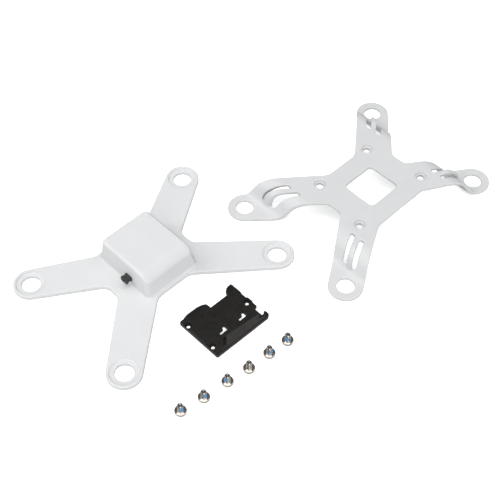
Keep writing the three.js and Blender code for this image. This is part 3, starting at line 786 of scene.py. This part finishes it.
def screw(number):
    """Socket head screw standing on its head, with a turned head and a cut thread."""
    bm = bmesh.new()
    sides = 48
    head, height, shank = SCREW["head"], SCREW["head_height"], SCREW["shank"]
    socket = SCREW["socket"] / 2
    socket_corner = socket / math.cos(math.radians(30))
    profile = [(socket_corner + 0.12, 0), (head - 0.75, 0), (head - 0.4, 0.08), (head - 0.16, 0.24),
               (head - 0.04, 0.46), (head, 0.75), (head, height - 0.14), (head - 0.05, height - 0.04),
               (head - 0.15, height), (shank + 0.12, height), (shank + 0.02, height + 0.05),
               (shank - 0.04, height + 0.15)]
    rings = lathe_rings(bm, profile, sides)
    # Hex socket in the face that the screw stands on.
    hexagon = []
    for k in range(sides):
        angle = 2 * math.pi * k / sides
        off_flat = (angle + math.radians(30)) % math.radians(60) - math.radians(30)
        hexagon.append(polar(socket / math.cos(off_flat), angle))
    mouth = [bm.verts.new((x * 1.06, y * 1.06, 0)) for x, y in hexagon]
    lip = [bm.verts.new((x, y, 0.1)) for x, y in hexagon]
    floor = [bm.verts.new((x, y, SCREW["socket_depth"])) for x, y in hexagon]
    wall(bm, rings[0], mouth, False)
    wall(bm, mouth, lip, False)
    wall(bm, lip, floor, False)
    drill_tip = bm.verts.new((0, 0, SCREW["socket_depth"] + 0.3))
    for k in range(sides):
        bm.faces.new([floor[(k + 1) % sides], floor[k], drill_tip][::-1])
    # Thread from under the head to the chamfered point, cut deeper over its first rings.
    last = rings[-1]
    end = SCREW["height"]
    start, thread_end = height + 0.25, end - 0.3
    count = int((thread_end - start) / SCREW["pitch"] * 8)
    for i in range(count + 1):
        depth = SCREW["thread_depth"] * min(1, i / 6)
        ring = threaded_ring(bm, start + (thread_end - start) * i / count, sides, depth)
        wall(bm, ring, last, False)
        last = ring
    for radius, z in ((shank - 0.18, end - 0.12), (shank - 0.32, end), (0.5, end), (0.35, end - 0.04)):
        ring = lathe_rings(bm, [(radius, z)], sides)[0]
        wall(bm, ring, last, False)
        last = ring
    bm.faces.new(last)
    bmesh.ops.recalc_face_normals(bm, faces=bm.faces)
    name = f"screw_{number}"
    return finish_mesh(f"{name}_turned", bm, middle_of(name), STEEL, f"{name}_body", name, 32)


def thread_patch(number):
    """The nylon patch wraps part of the thread; its edges are ragged and it follows the crests."""
    name = f"threadlock_patch_{number}"
    low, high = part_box(name)
    centre = middle_of(f"screw_{number}")
    facing = math.atan2((low.y + high.y) / 2 - centre.y, (low.x + high.x) / 2 - centre.x)
    bm = bmesh.new()
    z0, z1 = low.z / MM, high.z / MM
    across, up = PATCH["across"], PATCH["up"]
    skin = {}
    for i in range(across + 1):
        for k in range(up + 1):
            u, w = 2 * i / across - 1, 2 * k / up - 1
            angle = facing + u * PATCH["half_span"] * (1 - 0.06 * math.sin(5 * w + number))
            z = (z0 + z1) / 2 + w * (z1 - z0) / 2 * (1 - 0.07 * (1 + math.sin(4 * u + 2 * number)))
            tucked = 0.16 * max(abs(u), abs(w)) ** 8
            in_root = 1 - thread_crest(z, angle / (2 * math.pi))
            radius = SCREW["shank"] + PATCH["over"] - PATCH["follow"] * in_root - tucked
            skin[i, k] = bm.verts.new((*polar(radius, angle), z))
    inner = {}
    for (i, k), vert in skin.items():
        if i in (0, across) or k in (0, up):
            scale = (SCREW["shank"] - PATCH["under"]) / math.hypot(vert.co.x, vert.co.y)
            inner[i, k] = bm.verts.new((vert.co.x * scale, vert.co.y * scale, vert.co.z))
    for i in range(across):
        for k in range(up):
            bm.faces.new([skin[i, k], skin[i + 1, k], skin[i + 1, k + 1], skin[i, k + 1]])
    border = [(i, 0) for i in range(across)] + [(across, k) for k in range(up)]
    border += [(i, up) for i in range(across, 0, -1)] + [(0, k) for k in range(up, 0, -1)]
    for a, b in zip(border, border[1:] + border[:1]):
        bm.faces.new([skin[b], skin[a], inner[a], inner[b]])
    bm.faces.new([inner[p] for p in reversed(border)])
    return finish_mesh(f"{name}_skin", bm, centre, NYLON, f"screw_{number}_body", name, 60)


def threaded_insert(number):
    """Knurled brass sleeve pressed into a boss inside the box."""
    name = f"threaded_insert_{number}"
    low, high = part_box(name)
    radius = (high.x - low.x) / MM / 2
    length = (high.z - low.z) / MM
    bore = radius * INSERT["bore_share"]
    sides = INSERT["sides"]
    bm = bmesh.new()

    def ring(r, z, knurled):
        verts = []
        for k in range(sides):
            depth = INSERT["knurl_depth"] if knurled and k % 4 < 2 else 0
            verts.append(bm.verts.new((*polar(r - depth, 2 * math.pi * k / sides), z)))
        return verts

    def bore_ring(z):
        verts = []
        for k in range(sides):
            wave = math.cos(2 * math.pi * (z / INSERT["pitch"] - k / sides))
            verts.append(bm.verts.new((*polar(bore + INSERT["thread_depth"] * wave,
                                              2 * math.pi * k / sides), z)))
        return verts

    rows = [(bore + 0.1, 0, False), (radius - 0.1, 0, False), (radius, 0.1, False), (radius, 0.45, False),
            (radius, 0.5, True), (radius, 1.4, True), (radius - 0.12, 1.5, False),
            (radius - 0.12, 1.9, False), (radius, 2.0, True), (radius, length - 0.15, True),
            (radius - 0.15, length, False), (bore + 0.1, length, False), (bore, length - 0.1, False)]
    rings = [ring(*row) for row in rows]
    last_turn = INSERT["turns"] - 1
    rings += [bore_ring(length - 0.15 - (length - 0.3) * k / last_turn) for k in range(last_turn + 1)]
    rings += [ring(bore, 0.1, False), rings[0]]
    for lower, upper in zip(rings, rings[1:]):
        wall(bm, upper, lower, False)
    return finish_mesh(f"{name}_sleeve", bm, middle_of(name), BRASS, "upper", name, 32)


# ---------------------------------------------------------------- stage, light and camera
def area_light(name, place, size, power, colour):
    light = bpy.data.lights.new(name, "AREA")
    light.shape = "DISK"
    light.size = size
    light.energy = power
    light.color = colour
    lamp = bpy.data.objects.new(name, light)
    lamp.location = place
    lamp.rotation_euler = (-Vector(place)).to_track_quat("-Z", "Y").to_euler()
    bpy.context.scene.collection.objects.link(lamp)


def stage():
    bpy.ops.mesh.primitive_plane_add(size=TABLE["size"], location=(0, 0, -TABLE["below"]))
    floor = bpy.context.object
    floor.name = "table"
    material, tree, shader = new_material("white_table", (TABLE["seen"],) * 3, 0.7, 0.0, 0.1)
    shader.inputs["Emission Color"].default_value = (1, 1, 1, 1)
    # The table throws back less light than it shows, so undersides and lower edges stay dark.
    seen = tree.nodes.new("ShaderNodeLightPath").outputs["Is Camera Ray"]
    shown = ramp(tree, seen, 0, 1, (TABLE["reflected"],) * 3, (TABLE["seen"],) * 3)
    tree.links.new(shown, shader.inputs["Base Color"])
    glow = tree.nodes.new("ShaderNodeMath")
    glow.operation = "MULTIPLY"
    glow.inputs[1].default_value = TABLE["glow"]
    tree.links.new(seen, glow.inputs[0])
    tree.links.new(glow.outputs["Value"], shader.inputs["Emission Strength"])
    floor.data.materials.append(material)
    world = bpy.data.worlds.new("studio")
    bpy.context.scene.world = world
    world.use_nodes = True
    background = world.node_tree.nodes["Background"]
    background.inputs["Color"].default_value = (*WORLD["colour"], 1)
    background.inputs["Strength"].default_value = WORLD["strength"]
    for lamp in LAMPS:
        area_light(*lamp)
    bpy.context.scene.view_settings.view_transform = "Standard"


def camera():
    lens_data = bpy.data.cameras.new("camera")
    lens_data.lens = CAMERA["lens"]
    lens_data.sensor_width = CAMERA["sensor"]
    lens_data.clip_start = 0.01
    eye = bpy.data.objects.new("camera", lens_data)
    elevation, turn = math.radians(CAMERA["elevation"]), math.radians(CAMERA["turn"])
    back = Vector((math.cos(elevation) * math.sin(turn), -math.cos(elevation) * math.cos(turn),
                   math.sin(elevation)))
    eye.location = Vector(CAMERA["target"]) + back * CAMERA["distance"]
    eye.rotation_euler = (-back).to_track_quat("-Z", "Y").to_euler()
    bpy.context.scene.collection.objects.link(eye)
    bpy.context.scene.camera = eye


stage()
camera()
upper_board()
cable_grommet()
for index in (1, 2, 3):
    threaded_insert(index)
lower_board()
box_cover()
for index in range(1, 7):
    screw(index)
for index in (1, 2, 3, 5, 6):
    thread_patch(index)

bpy.context.view_layer.update()
